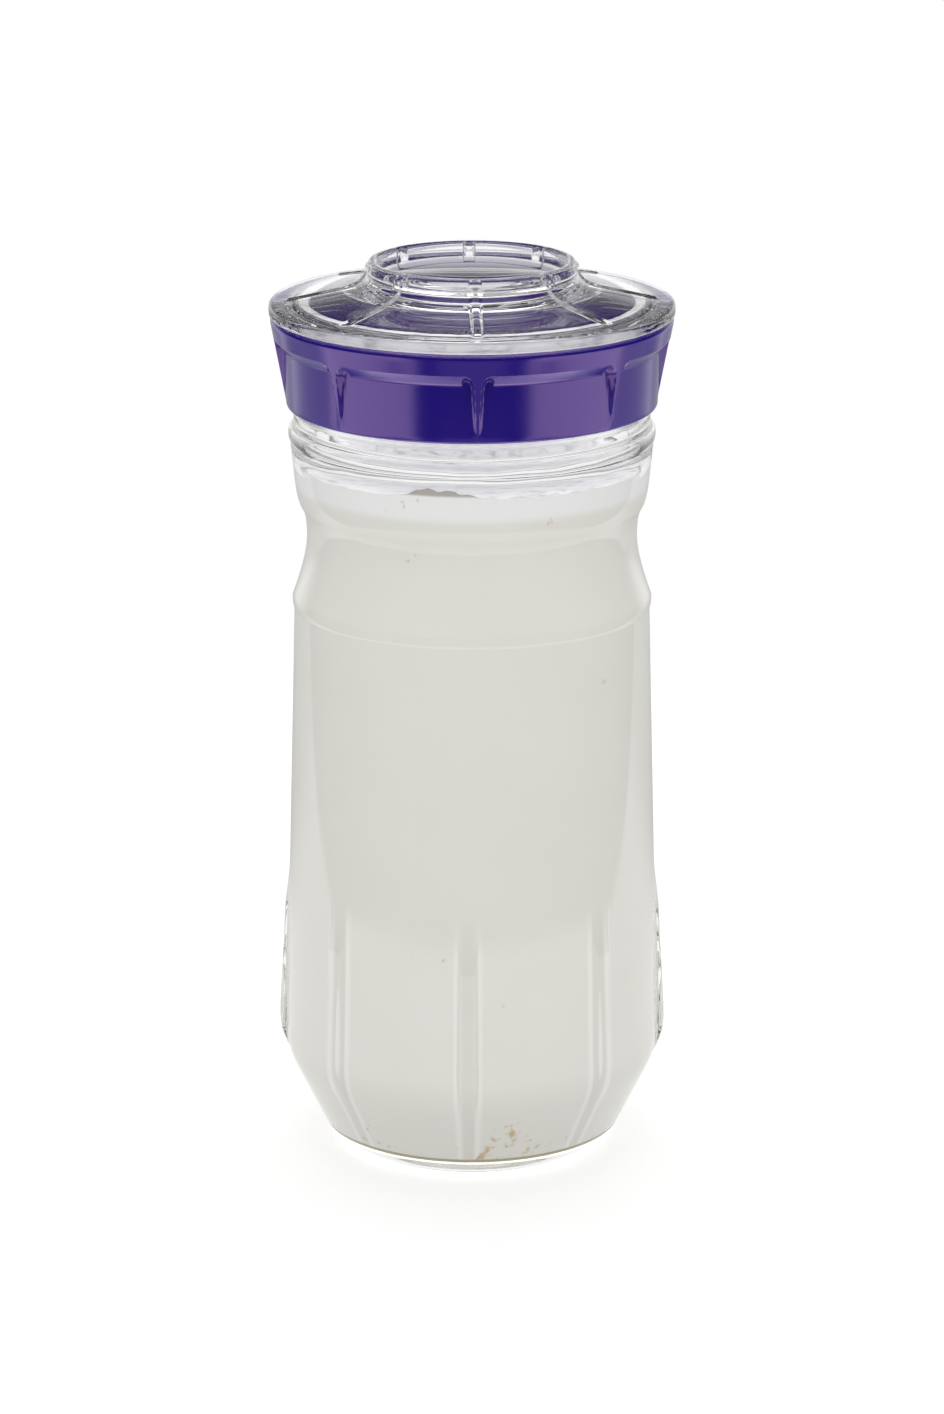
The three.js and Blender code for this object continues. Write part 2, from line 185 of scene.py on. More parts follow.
# Shader nodes
class Value:
    # a socket that takes part in sums

    def __init__(self, shader, socket):
        self.shader = shader
        self.socket = socket

    def sum(self, operation, first, second):
        return self.shader.node("ShaderNodeMath", {"operation": operation}, {0: first, 1: second})

    def __add__(self, other):
        return self.sum("ADD", self, other)

    def __radd__(self, other):
        return self.sum("ADD", other, self)

    def __sub__(self, other):
        return self.sum("SUBTRACT", self, other)

    def __rsub__(self, other):
        return self.sum("SUBTRACT", other, self)

    def __mul__(self, other):
        return self.sum("MULTIPLY", self, other)

    def __rmul__(self, other):
        return self.sum("MULTIPLY", other, self)

    def most(self, other):
        return self.sum("MAXIMUM", self, other)

    def least(self, other):
        return self.sum("MINIMUM", self, other)

    def power(self, other):
        return self.sum("POWER", self, other)

    def angle(self, across):
        return self.sum("ARCTAN2", self, across)

    def size(self):
        return self.sum("ABSOLUTE", self, 0)

    def __getitem__(self, name):
        return Value(self.shader, self.socket.node.outputs[name])


class Shader:
    def __init__(self, tree):
        self.tree = tree
        tree.nodes.clear()

    def node(self, kind, settings=None, inputs=None):
        made = self.tree.nodes.new(kind)
        for name, setting in (settings or {}).items():
            setattr(made, name, setting)
        for name, value in (inputs or {}).items():
            self.feed(made.inputs[name], value)
        return Value(self, made.outputs[0] if made.outputs else None)

    def feed(self, socket, value):
        if isinstance(value, Value):
            self.tree.links.new(value.socket, socket)
        else:
            socket.default_value = value

    def step(self, value, start, end):
        # a soft change from 0 at the start to 1 at the end
        rising = start < end
        return self.node("ShaderNodeMapRange", {"interpolation_type": "SMOOTHSTEP"}, {
            "Value": value, "From Min": min(start, end), "From Max": max(start, end),
            "To Min": 0 if rising else 1, "To Max": 1 if rising else 0})

    def edge(self, value, line, span):
        # the same change, between two distances from a line, in millimetres
        return self.step(value, line + span[0] * mm, line + span[1] * mm)

    def mix(self, share, first, second):
        mixed = self.node("ShaderNodeMix", {"data_type": "RGBA", "clamp_factor": False})
        node = mixed.socket.node
        for socket, value in ((node.inputs[0], share), (node.inputs[6], first), (node.inputs[7], second)):
            self.feed(socket, value)
        return Value(self, node.outputs[2])

    def place(self):
        return self.node("ShaderNodeTexCoord")["Object"]

    def stretched(self, place, shares):
        return self.node("ShaderNodeVectorMath", {"operation": "MULTIPLY"}, {0: place, 1: shares})

    def parted(self, place):
        return self.node("ShaderNodeSeparateXYZ", {}, {0: place})

    def reach(self):
        # the distance from the axis
        spot = self.parted(self.place())
        return (spot["X"] * spot["X"] + spot["Y"] * spot["Y"]).power(0.5)

    def noise(self, scale, detail=2, roughness=0.5, place=None):
        inputs = {"Vector": place or self.place(), "Scale": scale, "Detail": detail, "Roughness": roughness}
        return self.node("ShaderNodeTexNoise", {}, inputs)

    def bump(self, strength, depth, height):
        return self.node("ShaderNodeBump", {}, {"Strength": strength, "Distance": depth, "Height": height})

    def finish(self, surface, kind="ShaderNodeOutputMaterial"):
        self.node(kind, {}, {"Surface": surface})


def newFinish(name):
    material = bpy.data.materials.new(name)
    material.use_nodes = True
    return material, Shader(material.node_tree)


def clearFinish(name, look):
    material, shader = newFinish(name)
    sockets = {
        "Base Color": look["tint"],
        "Roughness": look["roughness"],
        "IOR": look["ior"],
        "Specular IOR Level": look["sheen"],
        "Transmission Weight": 1,
    }
    if "ripple" in look:
        squashed = shader.stretched(shader.place(), (1, 1, look["rippleSquash"]))
        streaks = shader.noise(look["rippleScale"], place=squashed)
        streaks = streaks * shader.edge(shader.reach(), look["rippleFrom"] * mm, (0, look["rippleFade"]))
        sockets["Normal"] = shader.bump(look["ripple"], look["rippleDepth"] * mm, streaks)
    clear = shader.node("ShaderNodeBsdfPrincipled", {}, sockets)
    # shadow and diffuse rays pass straight through
    path = shader.node("ShaderNodeLightPath")
    lampRays = path["Is Shadow Ray"].most(path["Is Diffuse Ray"])
    passing = shader.node("ShaderNodeBsdfTransparent", {}, {"Color": look["shade"]})
    shader.finish(shader.node("ShaderNodeMixShader", {}, {0: lampRays, 1: clear, 2: passing}))
    return material


# Glass jar
jarShape = {
    "foot": 36.8, "footRing": 7, "punt": 1.6, "heel": 5,
    "corner": 52.7, "cornerLevel": 27.4, "cornerBlend": 5, "bevelLean": 0.47,
    "top": 49.15, "topLevel": 155.6, "ridgeProud": 0.5, "ridgeHeight": 2.4,
    "waist": 45.5, "waistLevel": 175.5, "waistBow": 169.4,
    "shoulder": 48.95, "shoulderLevel": 193.2, "shoulderFlare": 0.9, "shoulderLean": 0.6,
    "bead": 50.35, "beadLevel": 202.4, "beadHeight": 4.4,
    "collar": 48.9, "collarTop": 211.1, "collarStep": 0.4, "collarRound": 0.6,
    "neck": 47.8, "mouth": 44, "rimRound": 1.2,
    "wall": 3, "innerShare": 0.6, "base": 5, "innerHeel": 3.5, "innerFoot": 0.5,
    "ribs": 8, "ribWidth": 6.8, "ribEdge": 1.6, "ribTail": 20, "ribFull": 36, "ribFade": 64, "ribTop": 82,
    "ribProud": 2, "ribUpperProud": 1.25, "clocking": -1.3,
    "threadProud": 0.7, "threadPitch": 4.2, "threadWidth": 2.6, "threadCrest": 2.2,
    "threadTurns": 1.7, "threadEnds": 0.1, "threadStart": 214.2,
    "wave": 0.12, "waveLength": 9, "waveSquash": 2.4, "waveFoot": 194, "waveTop": 212, "waveFade": 3,
    "rows": {"outside": 4, "thread": 0.5, "rib": 1.8, "inside": 5, "wave": 1}, "columns": (6, 14, 5),
}
glassLook = {
    "tint": (0.99, 0.992, 0.989, 1), "shade": (0.985, 0.985, 0.98, 1), "roughness": 0, "ior": 1.5, "sheen": 0.3,
}


def bodyAt(level):
    share = (level - jarShape["cornerLevel"]) / (jarShape["topLevel"] - jarShape["cornerLevel"])
    return jarShape["corner"] + (jarShape["top"] - jarShape["corner"]) * share


def drawBevel(outline, foot, floor, heel, inset):
    shape = jarShape
    corner = Vector((shape["corner"] - inset, shape["cornerLevel"]))
    footEdge = Vector((foot, floor))
    upward = (corner - footEdge).normalized()
    outline.line(foot - heel / 2, floor)
    outline.bend(footEdge, footEdge + upward * heel)
    blend = corner - upward * shape["cornerBlend"]
    outline.line(blend.x, blend.y)
    end = shape["cornerLevel"] + shape["cornerBlend"]
    outline.bend(corner, (bodyAt(end) - inset, end))


def drawWall(outline, inset, proud):
    shape = jarShape
    outline.line(shape["top"] - inset, shape["topLevel"])
    crest = shape["top"] + proud - inset
    crestLevel = shape["topLevel"] + shape["ridgeHeight"]
    outline.bend((crest, shape["topLevel"]), (crest, crestLevel))
    waist = shape["waist"] - inset
    outline.bend((waist, shape["waistBow"]), (waist, shape["waistLevel"]), steps=16)
    shoulder = shape["shoulder"] - inset
    middle = ((waist + shoulder) / 2, (shape["waistLevel"] + shape["shoulderLevel"]) / 2)
    quarter = (shape["shoulderLevel"] - shape["waistLevel"]) / 4
    outline.bend((waist, middle[1] - quarter / 2), middle, steps=10)
    lean = shape["shoulderLean"]
    outline.bend((shoulder - lean, middle[1] + quarter / 2), (shoulder, shape["shoulderLevel"]), steps=10)


def jarOutside():
    shape = jarShape
    rim = high("glass_jar")
    outline = Outline(0, shape["punt"])
    inner = shape["foot"] - shape["footRing"]
    outline.bend((inner / 2, shape["punt"]), (inner, 0))
    drawBevel(outline, shape["foot"] + shape["heel"] / 2, 0, shape["heel"], 0)
    drawWall(outline, 0, shape["ridgeProud"])
    bead, level, tall = shape["bead"], shape["beadLevel"], shape["beadHeight"]
    outline.line(shape["shoulder"] + shape["shoulderFlare"], level)
    outline.bend((bead, level + tall / 5), (bead, level + tall / 2), steps=6)
    outline.bend((bead, level + tall), (shape["collar"], level + tall), steps=8)
    outline.line(shape["collar"], shape["collarTop"] - shape["collarStep"], shape["collarRound"])
    outline.line(shape["neck"], shape["collarTop"] + shape["collarStep"], shape["collarRound"])
    outline.line(shape["neck"], rim - shape["rimRound"])
    outline.bend((shape["neck"], rim), (shape["neck"] - shape["rimRound"], rim), steps=6)
    return outline


def jarInside(inset, floor):
    shape = jarShape
    outline = Outline(0, floor)
    foot = shape["foot"] + shape["innerHeel"] / 2 - shape["innerFoot"]
    drawBevel(outline, foot, floor, shape["innerHeel"], inset)
    drawWall(outline, inset, 0)
    return outline


def bevelAt(level):
    # the side of the body, which leans in below the corner
    below = max(jarShape["cornerLevel"] - level, 0)
    return bodyAt(level + below) - below * jarShape["bevelLean"]


def ribAt(level, across):
    shape = jarShape
    lower = ease(level, shape["ribTail"], shape["ribFull"])
    slimming = ease(level, shape["ribFull"], shape["ribFade"])
    upper = shape["ribProud"] + (shape["ribUpperProud"] - shape["ribProud"]) * slimming
    proud = lower * upper * (1 - ease(level, shape["ribFade"], shape["ribTop"]))
    half = shape["ribWidth"] / 2
    return proud * (1 - ease(abs(across), half - shape["ribEdge"], half))


def threadAt(level, degrees):
    shape = jarShape
    end, run = shape["threadTurns"], shape["threadEnds"]
    proud = 0
    for turnIndex in range(math.ceil(end)):
        turns = degrees / fullTurn + turnIndex
        middle = shape["threadStart"] + shape["threadPitch"] * turns
        across = abs(level - middle) / (shape["threadWidth"] / 2)
        ends = ease(turns, 0, run) * (1 - ease(turns, end - run, end))
        if across < 1:
            crest = min(1, shape["threadCrest"] * (1 - across * across))
            proud = max(proud, shape["threadProud"] * ends * crest)
    return proud


def waveAt(spot):
    # pressed glass is a little uneven inside
    shape = jarShape
    spot = Vector((spot.x, spot.y, spot.z * shape["waveSquash"]))
    fade = ease(spot.z / shape["waveSquash"], shape["waveFoot"], shape["waveFoot"] + shape["waveFade"])
    return noise.noise(spot / shape["waveLength"]) * shape["wave"] * fade


def makeJar():
    shape, rows = jarShape, jarShape["rows"]
    rim = high("glass_jar")
    mouth = shape["mouth"]
    inside = jarInside(shape["wall"], shape["base"])
    flare = shape["shoulder"] + shape["shoulderFlare"] - shape["wall"]
    inside.bend((flare, shape["beadLevel"]), (mouth, shape["beadLevel"] + shape["beadHeight"]), steps=12)
    inside.line(mouth, rim - shape["rimRound"])
    inside.bend((mouth, rim), (mouth + shape["rimRound"], rim), steps=6)
    neckFoot = shape["collarTop"] + shape["collarStep"]
    points = finer(jarOutside().spaced(rows["outside"]), rows["thread"], neckFoot + near, rim)
    points = finer(points, rows["rib"], shape["ribTail"], shape["ribTop"])
    points += finer(inside.spaced(rows["inside"]), rows["wave"], shape["waveFoot"], shape["waveTop"])[::-1]
    bm = turn(points, shape["ribs"], crowded(shape["ribs"], *shape["columns"]))
    inner = shape["wall"] * shape["innerShare"]
    for vert in bm.verts:
        radius, level, across = polar(vert, shape["ribs"])
        if shape["waveFoot"] < level < shape["waveTop"] and radius < shape["shoulder"] - inner:
            setRadius(vert, radius + waveAt(vert.co / mm))
        if shape["ribTail"] < level < shape["ribTop"] and radius > bevelAt(level) - inner:
            setRadius(vert, radius + ribAt(level, across))
        elif level > neckFoot and radius > shape["neck"] - near:
            degrees = math.degrees(math.atan2(vert.co.y, vert.co.x)) % fullTurn
            setRadius(vert, radius + threadAt(level, degrees))
    faceFront(bm, shape["ribs"], shape["clocking"])
    jar = addPiece("glassJar", bm, "jar", clearFinish("pressedGlass", glassLook))
    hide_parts("glass_jar")
    print("glass jar made")


# Kefir
kefirShape = {
    "wetting": 0.15, "fill": 196.5, "meniscus": 0.8, "meniscusWidth": 2.5, "rows": 1.6, "columns": 256,
    "lumpHeight": 0.8, "lumpSize": 8, "lumpEnd": 4, "edgeLump": 0.8, "edgeWidth": 10,
    "curd": {"across": -9, "width": 9, "reach": 7, "height": 3.6, "even": 0.75, "uneven": 0.5, "size": 2.5},
}
kefirLook = {
    "milk": (0.80, 0.79, 0.75, 1), "whey": (0.77, 0.755, 0.70, 1), "wheyScale": 60,
    "roughness": 0.5, "sheen": 0.1,
    # the top is painted lighter, with painted grey reflection streaks and a painted glow
    "foam": (0.95, 0.95, 0.95, 1), "film": (0.68, 0.67, 0.65, 1), "filmScale": 260, "filmShare": (0.48, 0.66),
    "skin": (-1.5, -0.8), "skinRim": (0, -1.5), "topGlow": 0.6,
    # painted shade on the raised curd lumps
    "lump": (0.42, 0.40, 0.37, 1), "lumpFoot": (1.1, 2),
    # a lighter, cooler band just below the top
    "cream": (0.86, 0.865, 0.86, 1), "creamFoot": (-7, -4.2),
    # painted glow on the milk's underside
    "underside": (1, 0.5), "bottomGlow": 0.9,
    # painted highlight lines behind the jar's ribs, and painted shade between them
    "lit": (0.96, 0.96, 0.95, 1), "litShare": 0.45, "litOffset": 2.85, "litWidth": 1.7,
    "dim": (0.66, 0.65, 0.60, 1), "dimShare": 0.4,
    "grain": (0.56, 0.40, 0.19, 1), "grainShare": 0.85, "grainSize": 420, "cluster": 60, "grainWeight": 0.55,
    "grainTop": 30, "grainLimit": 0.75, "grainLow": 0.13, "grainEdge": (-0.01, 0.1),
    "heel": (0.42, 0.38, 0.24, 1), "heelHeight": 1.3, "heelEdge": (0.7, 0.3),
}


def paintedRibLight(shader, spot, milk):
    # painted highlight: lighter lines on the milk where the edges of the jar's ribs would gather light, with
    # painted shade on the milk between them
    look = kefirLook
    sector = math.tau / jarShape["ribs"]
    front = math.radians(jarShape["clocking"] - 90)
    angle = spot["Y"].angle(spot["X"]) - front
    offset = shader.node("ShaderNodeMath", {"operation": "WRAP"}, {0: angle, 1: sector / 2, 2: -sector / 2})
    across = (offset * (jarShape["corner"] - jarShape["wall"])).size()
    line = shader.step((across - look["litOffset"]).size(), look["litWidth"], 0)
    fade = shader.edge(spot["Z"], 0, (jarShape["ribTop"], jarShape["ribFade"]))
    middle = shader.step(across, look["litOffset"], look["litOffset"] - look["litWidth"]) * fade
    milk = shader.mix(middle * look["dimShare"], milk, look["dim"])
    return shader.mix(line * fade * look["litShare"], milk, look["lit"])


def grains(shader, height, floor, milk):
    # specks that gather low in the jar, and a dull line along the heel
    look = kefirLook
    deep = shader.edge(height, 0, (look["grainTop"], jarShape["base"]))
    limit = look["grainLimit"] - deep * look["grainLow"]
    speck = shader.noise(look["grainSize"], detail=3) * look["grainWeight"]
    speck = speck + shader.noise(look["cluster"], detail=1) * look["grainWeight"]
    share = shader.step(speck - limit, *look["grainEdge"]) * look["grainShare"]
    milk = shader.mix(share, milk, look["grain"])
    line = floor + look["heelHeight"] * mm
    return shader.mix(shader.edge((height - line).size(), 0, look["heelEdge"]), milk, look["heel"])


def kefirFinish():
    look = kefirLook
    material, shader = newFinish("cultured milk")
    spot = shader.parted(shader.place())
    height = spot["Z"]
    surface = (kefirShape["fill"] - kefirShape["meniscus"]) * mm
    floor = (jarShape["base"] - kefirShape["wetting"]) * mm
    wall = (jarShape["shoulder"] - jarShape["wall"]) * mm
    milk = shader.mix(shader.noise(look["wheyScale"], detail=3), look["milk"], look["whey"])
    # lighter and cooler in a band just below the top
    milk = shader.mix(shader.edge(height, surface, look["creamFoot"]), milk, look["cream"])
    milk = paintedRibLight(shader, spot, milk)
    milk = grains(shader, height, floor, milk)
    # painted light on the top: a lighter colour broken by painted grey reflection streaks, with a painted glow
    # everywhere except on the lumps
    top = shader.edge(height, surface, look["skin"]) * shader.edge(shader.reach(), wall, look["skinRim"])
    # painted glow on the underside, which sits in shade on the table
    bottom = shader.edge(height, floor, look["underside"]) * look["bottomGlow"]
    film = shader.step(shader.noise(look["filmScale"], detail=3, roughness=0.6), *look["filmShare"])
    skin = shader.mix(film, look["foam"], look["film"])
    # painted shade: the raised curd lumps are painted grey
    lump = shader.edge(height, surface, look["lumpFoot"])
    milk = shader.mix(lump, shader.mix(top, milk, skin), look["lump"])
    glow = shader.mix(top * (1 - lump) * look["topGlow"] + bottom, (0, 0, 0, 1), skin)
    shader.finish(shader.node("ShaderNodeBsdfPrincipled", {}, {
        "Base Color": milk, "Roughness": look["roughness"], "Specular IOR Level": look["sheen"],
        "Emission Color": glow, "Emission Strength": 1}))
    return material


def lumpAt(spot, edge):
    # an uneven top, with a mound of curd at the front
    shape, curd = kefirShape, kefirShape["curd"]
    reach = spot.xy.length
    spot = Vector((spot.x, spot.y, 0))
    rough = noise.noise(spot / shape["lumpSize"])
    lump = rough * shape["lumpHeight"] * (1 - ease(reach, edge - shape["lumpEnd"], edge))
    lump += max(0, rough) * shape["edgeLump"] * ease(reach, edge - shape["edgeWidth"], edge)
    aside = (spot.x - curd["across"]) / curd["width"]
    deep = (spot.y + edge) / curd["reach"]
    broken = curd["even"] + curd["uneven"] * noise.noise(spot / curd["size"])
    mound = math.exp(-aside * aside - deep * deep) * broken
    return lump + mound * curd["height"]


def makeKefir():
    shape = kefirShape
    outline = jarInside(jarShape["wall"] - shape["wetting"], jarShape["base"] - shape["wetting"])
    edge = outline.path[-1].x
    outline.line(edge, shape["fill"])
    surface = shape["fill"] - shape["meniscus"]
    outline.bend((edge, surface), (edge - shape["meniscusWidth"], surface), steps=6)
    outline.line(0, surface)
    bm = turnEvenly(outline.spaced(shape["rows"]), shape["columns"])
    for vert in bm.verts:
        if vert.co.z / mm > surface - hair:
            vert.co.z += lumpAt(vert.co / mm, edge) * mm
    kefir = addPiece("kefirFill", bm, "jar", kefirFinish())
    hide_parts("kefir")
    print("kefir made")


# Strainer lid
lidShape = {
    "bore": 48.6, "boreRound": 0.5, "skirtWall": 2.1, "edgeRound": 0.7, "flare": 4.4, "seat": 14.4,
    "rim": 24.8, "rimChamfer": 1, "chamferRound": 0.5, "rimRound": 0.4,
    "band": 5.7, "ledge": 3.2, "draft": 0.5, "lip": 0.8, "lipRow": 1,
    "ledgeDrop": 6, "ledgeRow": 0.2, "ledgeRows": 32,
    "well": 50.2, "wellRound": 0.3, "floor": 2.2,
    "plug": 43.4, "plugWall": 2, "plugDepth": 4.5, "plugRound": 0.4,
    "ribs": 8, "ribWidth": 1.9, "ribWall": 0.8, "cornerRound": 3.4, "ledgeSlope": 0.75, "soften": 0.4,
    "skin": 0.2, "clocking": 1.7, "rows": 1.2, "columns": (5.5, 27, 7), "sharp": 30,
    "deckDrop": 0.7, "deckRise": 0.9, "deckThick": 2, "deckLap": 0.5, "deckRows": 3,
    "slots": 120, "slotWidth": 0.7, "slotInner": 24, "slotOuter": 33, "barCrown": 0.35, "barEnd": 1,
}
purpleLook = {
    "color": (0.005, 0.001, 0.135, 1), "ior": 1.8, "sheenTint": (0.95, 0.6, 1, 1),
    "deckColor": (0.032, 0.009, 0.115, 1), "deckIor": 1, "barRoughness": 0.1, "barFade": 1,
    "roughness": 0.2, "patchScale": 90, "patches": 0.08,
    "grain": 0.06, "grainScale": 2600, "grainDepth": 0.1,
}


def purpleFinish(name, color, ior, bars=None):
    # the bars lie between two radii and are glossier
    look = purpleLook
    material, shader = newFinish(name)
    patchy = shader.noise(look["patchScale"], detail=3)
    sockets = {
        "Base Color": color,
        "Roughness": look["roughness"] + (patchy - 0.5) * look["patches"],
        "IOR": ior,
        "Specular Tint": look["sheenTint"],
        "Normal": shader.bump(look["grain"], look["grainDepth"] * mm, shader.noise(look["grainScale"])),
    }
    if bars:
        reach = shader.reach()
        started = shader.edge(reach, bars[0] * mm, (-look["barFade"], 0))
        ended = shader.edge(reach, bars[1] * mm, (look["barFade"], 0))
        sockets["Coat Weight"] = started * ended
        sockets["Coat Roughness"] = look["barRoughness"]
    shader.finish(shader.node("ShaderNodeBsdfPrincipled", {}, sockets))
    return material


def softLeast(first, second, width):
    # the smaller of two depths, with a rounded change from one to the other
    mix = min(max(0.5 + 0.5 * (second - first) / width, 0), 1)
    return second + (first - second) * mix - width * mix * (1 - mix)


def recess(level, across, foot, ledgeTop, full):
    # the depth of a panel beside a tapering rib and under the sloped ledge
    shape = lidShape
    taper = min(max((level - foot) / (ledgeTop - shape["ledge"] - foot), 0), 1)
    side = abs(across) - shape["ribWidth"] / 2 * taper
    down = ledgeTop - level
    if side <= 0 or down <= 0:
        return 0
    corner = shape["cornerRound"]
    steep, gentle = full / shape["ribWall"], shape["ledgeSlope"]
    if side < corner and down < corner:
        inward = corner - math.hypot(corner - side, corner - down)
        share = math.atan2(corner - down, corner - side) / (math.pi / 2)
        slope = steep + (gentle - steep) * share
    elif side < down:
        inward, slope = side, steep
    else:
        inward, slope = down, gentle
    return max(0, softLeast(full, inward * slope, shape["soften"]))


def makeLid():
    shape = lidShape
    edge = low("strainer_lid")
    seat, rim = edge + shape["seat"], edge + shape["rim"]
    wellFloor, plugFoot = seat + shape["floor"], seat - shape["plugDepth"]
    skirt = shape["bore"] + shape["skirtWall"]
    wide = skirt + shape["flare"]
    ledgeTop = rim - shape["band"]
    ledgeFoot = ledgeTop - shape["ledgeDrop"]
    foot = edge + shape["lip"]
    deckEdge = rim - shape["deckDrop"]
    plugBore = shape["plug"] - shape["plugWall"]
    coneTop = rim - shape["rimChamfer"]

    def coneAt(level):
        return skirt + shape["flare"] * (level - edge) / (coneTop - edge)

    outline = Outline(plugBore, deckEdge)
    outline.line(plugBore, plugFoot, shape["plugRound"])
    outline.line(shape["plug"], plugFoot, shape["plugRound"])
    outline.line(shape["plug"], seat)
    outline.line(shape["bore"], seat)
    outline.line(shape["bore"], edge, shape["boreRound"])
    outline.line(skirt, edge, shape["edgeRound"])
    levels = [foot + shape["lipRow"]]
    levels += [ledgeFoot + step * shape["ledgeRow"] for step in range(shape["ledgeRows"] + 1)]
    for level in levels:
        outline.line(coneAt(level), level)
    outline.line(wide, coneTop, shape["chamferRound"])
    outline.line(wide - shape["rimChamfer"], rim, shape["rimRound"])
    outline.line(shape["well"], rim, shape["wellRound"])
    outline.line(shape["well"], wellFloor)
    outline.line(shape["plug"], wellFloor)
    outline.line(shape["plug"], deckEdge)
    plan = crowded(shape["ribs"], *shape["columns"])
    bm = turn(outline.spaced(shape["rows"]), shape["ribs"], plan, closed=True)
    panel = coneAt(foot)
    for vert in bm.verts:
        radius, level, across = polar(vert, shape["ribs"])
        if foot < level < ledgeTop and radius > coneAt(level) - shape["skin"]:
            panelSide = panel + shape["draft"] * (level - foot) / (ledgeTop - shape["ledge"] - foot)
            depth = recess(level, across, foot, ledgeTop, coneAt(level) - panelSide)
            setRadius(vert, radius - depth)
    faceFront(bm, shape["ribs"], shape["clocking"])
    satin = purpleFinish("satin purple plastic", purpleLook["color"], purpleLook["ior"])
    lid = addPiece("strainerLid", bm, "lid", satin, shape["sharp"])
    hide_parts("strainer_lid")
    deck = strainerDeck(deckEdge, plugBore + shape["deckLap"])
    bars = shape["slotInner"], shape["slotOuter"]
    dull = purpleFinish("dull purple plastic", purpleLook["deckColor"], purpleLook["deckIor"], bars)
    addPiece("strainerDeck", deck, "lid", dull, shape["sharp"])
    print("strainer lid made")
    return lid


def strainerDeck(level, radius):
    shape = lidShape
    inner, outer = shape["slotInner"], shape["slotOuter"]
    crown = level + shape["deckRise"]
    outline = Outline(0, crown)
    for reach in (inner, outer, radius):
        outline.line(reach, crown - shape["deckRise"] * reach / radius)
    pitch = fullTurn / shape["slots"]
    half = pitch / 2
    plan = [(half / 2, 1), (half, 4), (half / 2, 1)]
    bm = turn(outline.spaced(shape["deckRows"]), shape["slots"], plan)
    # the columns of a bar spread until only the slot's width is left, and the bar is crowned
    for vert in bm.verts:
        reach, _, along = polar(vert, shape["slots"])
        bar = reach * math.radians(half / 2)
        if inner - near < reach < outer + near and abs(along) < bar + hair:
            width = reach * math.radians(half) - shape["slotWidth"] / 2
            turned = Matrix.Rotation(along * (width / bar - 1) / reach, 3, "Z")
            started = ease(reach, inner - near, inner + shape["barEnd"])
            ended = ease(reach, outer + near, outer - shape["barEnd"])
            rise = shape["barCrown"] * started * ended * math.cos(math.pi / 2 * min(abs(along) / bar, 1))
            vert.co = turned @ vert.co + Vector((0, 0, rise * mm))
    slots = []
    for face in bm.faces:
        middle = face.calc_center_median()
        angle = math.degrees(math.atan2(middle.y, middle.x)) % pitch
        if inner < middle.xy.length / mm < outer and abs(angle - half) > half / 2:
            slots.append(face)
    bmesh.ops.delete(bm, geom=slots, context="FACES")
    bmesh.ops.recalc_face_normals(bm, faces=bm.faces)
    bmesh.ops.solidify(bm, geom=bm.faces, thickness=shape["deckThick"] * mm)
    bmesh.ops.recalc_face_normals(bm, faces=bm.faces)
    return bm


# Gaskets
gasketShape = {
    "jar": {"node": "jar_gasket", "body": "jar_seal", "width": 4.6},
    "cap": {"node": "cap_gasket", "body": "cap_seal", "width": 6.2, "sleeve": 47.2, "ring": 1.7},
    "round": 0.5, "sleeveRound": 0.2, "seam": 0.05, "rows": 1.5, "columns": 160,
}
# the silicone has painted streaks, painted shade on its inside face, and a painted glow
siliconeLook = {
    "color": (0.88, 0.88, 0.87, 1), "roughness": 0.45, "haze": 0.1, "hazeScale": 400, "glow": 0.18,
    "streak": (0.48, 0.47, 0.52, 1), "streakScale": 90, "streakSquash": 8, "streakShare": (0.45, 0.7),
    "inside": (0.03, 0.02, 0.10, 1), "insideReach": 44.2, "insideEdge": (0, -0.3),
}


def siliconeFinish():
    look = siliconeLook
    material, shader = newFinish("white silicone")
    # painted streaks that stand in for light refracted through the cap's flange
    squashed = shader.stretched(shader.place(), (1, 1, look["streakSquash"]))
    streaks = shader.noise(look["streakScale"], detail=3, roughness=0.6, place=squashed)
    streaks = shader.step(streaks, *look["streakShare"])
    color = shader.mix(streaks, look["color"], look["streak"])
    # painted shade: the inside face is painted dark purple
    inside = shader.edge(shader.reach(), look["insideReach"] * mm, look["insideEdge"])
    color = shader.mix(inside, color, look["inside"])
    haze = shader.noise(look["hazeScale"])
    shader.finish(shader.node("ShaderNodeBsdfPrincipled", {}, {
        "Base Color": color,
        "Roughness": look["roughness"] + (haze - 0.5) * look["haze"],
        # painted glow: the silicone gives off light in its own colour
        "Emission Color": color,
        "Emission Strength": look["glow"],
    }))
    return material


def makeGaskets():
    finish = siliconeFinish()
    fillet = gasketShape["round"]
    for name in ("jar", "cap"):
        shape = gasketShape[name]
        bottom, top = low(shape["node"]), high(shape["node"])
        middle = (bottom + top) / 2
        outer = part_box(shape["node"])[1].x / mm
        inner = outer - shape["width"]
        outline = Outline(inner, middle)
        outline.line(inner, bottom, fillet)
        outline.line(outer, bottom, fillet)
        if "sleeve" in shape:
            outline.line(outer, bottom + shape["ring"], fillet)
            outer = shape["sleeve"]
            outline.line(outer, bottom + shape["ring"], gasketShape["sleeveRound"])
        outline.line(outer, top, fillet)
        outline.line(inner, top, fillet)
        outline.line(inner, middle + gasketShape["seam"])
        bm = turnEvenly(outline.spaced(gasketShape["rows"]), gasketShape["columns"], closed=True)
        ring = addPiece(name + "Gasket", bm, shape["body"], finish)
        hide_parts(shape["node"])
    print("gaskets made")


